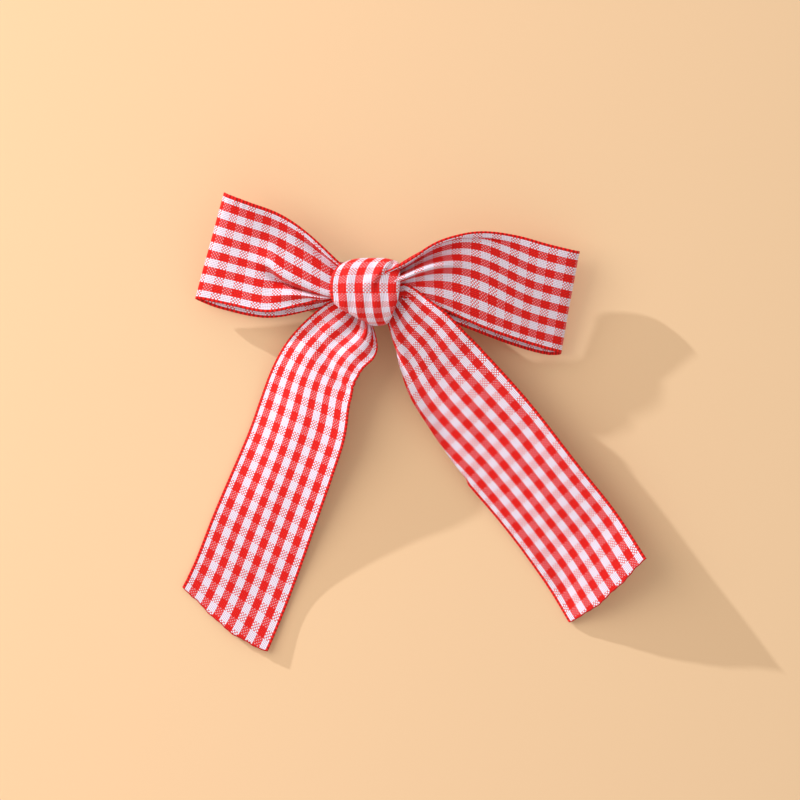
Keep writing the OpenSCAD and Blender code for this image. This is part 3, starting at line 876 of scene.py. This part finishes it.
def ribbon_material(name):
    """Gingham on the piece's own UV. The valleys' shade is a power of one less the height. The cut
    end is found by the attribute to_cut."""
    mat, tree, shader = new_material(name)
    uv = tree.nodes.new("ShaderNodeUVMap")
    uv.uv_map = "cloth"
    split = tree.nodes.new("ShaderNodeSeparateXYZ")
    tree.links.new(uv.outputs[0], split.inputs[0])

    def m(op, *args):
        return value_node(tree, op, *args)

    woven = tree.nodes.new("ShaderNodeGroup")
    woven.node_tree = weave
    woven.inputs["Dyed"].default_value = DYED
    woven.inputs["Undyed"].default_value = UNDYED
    place = tree.nodes.new("ShaderNodeCombineXYZ")
    for axis_number, label in enumerate(("Across mm", "Along mm")):
        distance = m("MULTIPLY", split.outputs[axis_number], UV_MM)
        tree.links.new(distance, woven.inputs[label])
        tree.links.new(distance, place.inputs[axis_number])
    height = woven.outputs["Height"]
    shade = m("ADD", 0.93, m("MULTIPLY", noise_node(tree, place.outputs[0], 0.9, 4), 0.14))
    depth = m("POWER", m("SUBTRACT", 1.0, height), 1.2)
    valleys = m("SUBTRACT", 1.12, m("MULTIPLY", depth, 1.04))
    colour = dim_colour(tree, woven.outputs["Color"], m("MULTIPLY", shade, valleys))
    rough = m("SUBTRACT", 0.72, m("MULTIPLY", height, 0.16))
    left_over = tree.nodes.new("ShaderNodeAttribute")
    left_over.attribute_name = "to_cut"
    melted = m("LESS_THAN", left_over.outputs["Fac"], MELTED_MM)
    colour = mix_colour(tree, melted, colour, MELTED)
    rough = m("SUBTRACT", rough, m("MULTIPLY", melted, 0.3))
    tree.links.new(colour, shader.inputs["Base Color"])
    tree.links.new(rough, shader.inputs["Roughness"])
    raise_bumps(tree, shader, height, 0.55, 0.00006)
    shader.inputs["Sheen Weight"].default_value = 0.06
    shader.inputs["Sheen Roughness"].default_value = 0.4
    shader.inputs["Specular IOR Level"].default_value = 0.2
    return mat


gingham = ribbon_material("gingham_ribbon")
for piece in (left_loop, right_loop, left_tail, right_tail, knot_wrap):
    piece.data.materials.append(gingham)

# %% [markdown]
# The spring is one bent wire, so it is drawn as a round section carried along a path. Each ring of
# points lies square to the path, and a fan of triangles closes each end.

# %% Wire along a path
SPOKES = 16


def wire(name, path, thick, side_of):
    """A round wire along a path of points. Its rings lie across the path: one direction is the
    cross product of the path's run and side_of, the other is square to both."""
    run = unit(np.gradient(path, axis=0))
    side = unit(np.cross(run, side_of))
    a = np.linspace(0, 2 * np.pi, SPOKES + 1)[:-1, None]
    ring = np.cos(a) * side[:, None] + np.sin(a) * np.cross(run, side)[:, None]
    points = (path[:, None] + thick / 2 * ring).reshape(-1, 3)
    i, j = np.mgrid[0:len(path) - 1, 0:SPOKES]
    k = (j + 1) % SPOKES
    here, there = i * SPOKES, (i + 1) * SPOKES
    walls = np.stack([here + j, here + k, there + k, there + j], -1).reshape(-1, 4)
    spoke = np.arange(SPOKES)
    turn = (spoke + 1) % SPOKES
    last = len(points) - SPOKES
    near_cap = np.stack([turn, spoke, np.full(SPOKES, len(points))], 1)
    far_cap = np.stack([spoke + last, turn + last, np.full(SPOKES, len(points) + 1)], 1)
    verts = np.concatenate([points, path[:1], path[-1:]])
    return make_mesh(name, verts, walls.tolist() + near_cap.tolist() + far_cap.tolist())


print("faces round the wire:", SPOKES)

# %% [markdown]
# The spring has a leg that lies on the lower jaw, three and a half turns round the pin, and a leg
# under the upper jaw. It is drawn in the clip's own directions: out along the clip, up, and the
# hinge's axis.

# %% Spring
WIRE_D = 0.6
COIL_TURNS = 3.5
COIL_R = 1.35            # to the wire's middle
COIL_HALF = 0.9          # half the coil's length, between the middles of its end turns
hinge = next(joint for joint in frame["joints"] if joint["name"] == "jaw_hinge")
pin_at = np.array(hinge["pos_m"]) / MM
axis = -unit(np.array(hinge["axis"], float))
out = np.cross(axis, [0, 0, 1])
spring_low, spring_high = [np.array(c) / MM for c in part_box("torsion_spring")]
reach = (spring_high[0] - pin_at[0] - (COIL_HALF + WIRE_D / 2) * axis[0]) / out[0]
start_z = spring_low[2] + WIRE_D / 2 - pin_at[2]
end_z = spring_high[2] - WIRE_D / 2 - pin_at[2]
s = np.linspace(0, 1, 240)
angle = -np.pi / 2 - 2 * np.pi * COIL_TURNS * s
coil = np.stack([COIL_R * np.cos(angle), COIL_R * np.sin(angle), COIL_HALF * (2 * s - 1)], 1)
leg = np.linspace(1, 0.02, 24)[:, None]
low_leg = coil[0] + leg * [reach, start_z + COIL_R, 0]
high_leg = coil[-1] + leg[::-1] * [reach, end_z - COIL_R, 0]
flat = np.concatenate([low_leg, coil, high_leg])
spring_path = pin_at + flat[:, :1] * out + flat[:, 1:2] * np.array([0, 0, 1.0]) + flat[:, 2:] * axis
spring = wire("spring_wire", spring_path, WIRE_D, axis)
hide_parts("torsion_spring")
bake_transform(spring)
spring_mm = np.linalg.norm(np.diff(spring_path, axis=0), axis=1).sum()
print("spring wire:", round(float(spring_mm), 1), "mm")

# %% [markdown]
# The clip keeps its fixed shapes and gets a plated steel finish: a bright base, fine brushing that
# runs along the clip, and a slow variation where plating pools.

# %% Steel materials
BRUSHING = (400, 9000, 9000)     # noise cells to a metre: long along x, fine across it
POOLS = 180.0                    # noise cells to a metre


def steel_material(name, colour, rough, brush):
    """Plated steel on Object coordinates. Roughness is `rough`, plus `brush` times the brushing's
    noise, plus a little of the pools' noise, with both noises centred on 0."""
    mat, tree, shader = new_material(name)

    def m(op, *args):
        return value_node(tree, op, *args)

    place = tree.nodes.new("ShaderNodeTexCoord").outputs["Object"]
    stretch = tree.nodes.new("ShaderNodeMapping")
    stretch.inputs["Scale"].default_value = BRUSHING
    tree.links.new(place, stretch.inputs["Vector"])
    fine = noise_node(tree, stretch.outputs[0], 1.0)
    slow = noise_node(tree, place, POOLS)
    spread = m("MULTIPLY", m("SUBTRACT", fine, 0.5), brush)
    pool = m("MULTIPLY", m("SUBTRACT", slow, 0.5), 0.12)
    tree.links.new(m("ADD", m("ADD", spread, pool), rough), shader.inputs["Roughness"])
    dark = tuple(c * 0.86 for c in colour)
    tint = mix_colour(tree, slow, (*dark, 1), (*colour, 1))
    tree.links.new(tint, shader.inputs["Base Color"])
    shader.inputs["Metallic"].default_value = 1.0
    raise_bumps(tree, shader, fine, 0.25, 0.00002)
    return mat


def dress(node, mat):
    """Gives a fixed node's object one material."""
    piece = frame["nodes"][node]
    piece.data.materials.clear()
    piece.data.materials.append(mat)


clip_steel = steel_material("clip_steel", (0.80, 0.80, 0.81), 0.24, 0.22)
dress("upper_jaw", clip_steel)
dress("lower_jaw", clip_steel)
dress("pivot_pin", steel_material("pin_steel", (0.72, 0.72, 0.74), 0.2, 0.1))
spring.data.materials.append(steel_material("spring_steel", (0.55, 0.56, 0.60), 0.3, 0.1))

# %% [markdown]
# What the knot hides is plain: the gathered ribbon under it, the thread that binds it and the glue
# on the clip. One mottled material does for the three, each with its own colour and grain. Only the
# glue has a coat, because it sets with a skin.

# %% Thread, gathered ribbon and glue
def simple_material(name, colour, rough, scale, depth, coat=0.0):
    """A base colour mottled by noise, which also drives roughness and a shallow bump."""
    mat, tree, shader = new_material(name)
    place = tree.nodes.new("ShaderNodeTexCoord").outputs["Object"]
    mottle = noise_node(tree, place, scale, 5)
    dark = tuple(c * 0.78 for c in colour)
    tint = mix_colour(tree, mottle, (*dark, 1), (*colour, 1))
    tree.links.new(tint, shader.inputs["Base Color"])
    vary = value_node(tree, "ADD", rough - 0.1, value_node(tree, "MULTIPLY", mottle, 0.2))
    tree.links.new(vary, shader.inputs["Roughness"])
    raise_bumps(tree, shader, mottle, 0.5, depth)
    shader.inputs["Coat Weight"].default_value = coat
    return mat


dress("centre_gather", simple_material("gathered_ribbon", (0.78, 0.10, 0.11), 0.75, 1800, 0.0001))
dress("binding_thread", simple_material("thread", (0.88, 0.86, 0.83), 0.7, 5000, 0.00005))
dress("glue_pad", simple_material("glue", (0.86, 0.82, 0.70), 0.35, 500, 0.0001, coat=0.3))

# %% [markdown]
# The stage is a plain pale table. It is far bigger than the bow, so that no edge shows from above.
# Its colour is painted a little darker to the right of the bow, away from the lights: painted light
# falloff.

# %% Floor
TABLE = 1.6              # half the table's side, in metres
NEAR_TONE = (0.92, 0.605, 0.355, 1)
PAINTED_FALLOFF_TONE = (0.80, 0.545, 0.325, 1)
PAINTED_FALLOFF_SPAN = (-0.09, 0.11)     # where along x the tone starts and stops changing

floor_mesh = bpy.data.meshes.new("table")
floor_mesh.from_pydata([(-TABLE, -TABLE, 0), (TABLE, -TABLE, 0), (TABLE, TABLE, 0), (-TABLE, TABLE, 0)],
                       [], [(0, 1, 2, 3)])
floor = add_object("table", floor_mesh)
floor_mat, floor_tree, floor_shader = new_material("pale_table")
floor_split = floor_tree.nodes.new("ShaderNodeSeparateXYZ")
floor_tree.links.new(floor_tree.nodes.new("ShaderNodeTexCoord").outputs["Object"], floor_split.inputs[0])
# painted light falloff: the table's colour darkens along x, towards the right, away from the lights
fade = floor_tree.nodes.new("ShaderNodeMapRange")
fade.inputs["From Min"].default_value, fade.inputs["From Max"].default_value = PAINTED_FALLOFF_SPAN
floor_tree.links.new(floor_split.outputs[0], fade.inputs["Value"])
floor_tone_with_painted_falloff = mix_colour(floor_tree, fade.outputs[0], NEAR_TONE, PAINTED_FALLOFF_TONE)
floor_tree.links.new(floor_tone_with_painted_falloff, floor_shader.inputs["Base Color"])
floor_shader.inputs["Roughness"].default_value = 0.9
floor.data.materials.append(floor_mat)
floor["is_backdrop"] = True

# %% [markdown]
# Three lights. The world is an even warm fill. A soft square light at the upper left adds a gentle
# turn to the folds. The key is a low sun from the same side, a little cooler than the fill. It
# throws shadows four times as long as the ribbon is high, and its small width softens their edges.

# %% Lights
def aim(light, heading):
    """Turns a light so that it shines along the heading."""
    light.rotation_euler = Vector(heading).to_track_quat("-Z", "Y").to_euler()


world = bpy.data.worlds.new("studio")
bpy.context.scene.world = world
world.use_nodes = True
world.node_tree.nodes["Background"].inputs[0].default_value = (1.0, 0.96, 0.905, 1)
world.node_tree.nodes["Background"].inputs[1].default_value = 0.64

fill_data = bpy.data.lights.new("fill", "AREA")
fill_data.energy = 2.3
fill_data.color = (1.0, 0.965, 0.92)
fill_data.size = 0.5
fill = add_object("fill", fill_data)
fill.location = (-0.45, 0.20, 0.48)
aim(fill, -fill.location)

KEY_RISE = math.radians(14.3)
key_data = bpy.data.lights.new("key", "SUN")
key_data.energy = 2.8
key_data.color = (0.86, 0.93, 1.0)
key_data.angle = math.radians(1.2)
key = add_object("key", key_data)
aim(key, (1.0, -0.82, -math.hypot(1.0, 0.82) * math.tan(KEY_RISE)))
print("shadow of 1 mm of height:", round(1 / math.tan(KEY_RISE), 1), "mm")

# %% [markdown]
# The camera looks straight down from nearly a metre, so that height hardly changes a piece's size.
# Its lens is worked out so that the view is VIEW_W wide at the ribbon's level.

# %% Camera
bpy.context.scene.view_settings.view_transform = "Standard"
VIEW_W = 0.184           # metres
DISTANCE = 0.9
RIBBON_LEVEL = 0.008
MIDDLE_OF_VIEW = (0.0076, -0.0253)
camera_data = bpy.data.cameras.new("camera")
camera_data.sensor_width = 36
camera_data.lens = 36 * (DISTANCE - RIBBON_LEVEL) / VIEW_W
camera_data.clip_start = 0.01
camera = add_object("camera", camera_data)
camera.location = (*MIDDLE_OF_VIEW, DISTANCE)
bpy.context.scene.camera = camera
print("lens:", round(camera_data.lens, 1), "mm")

# %% [markdown]
# Last, the box round what is seen is printed; the fixed frame's box was printed at the start.
# They should differ by no more than the cloth's own freedom.

# %% Size table and finish
low, high = [list(map(float, corner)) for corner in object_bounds()]
print("visual box in mm:", [round((h - l) / MM, 1) for l, h in zip(low, high)])
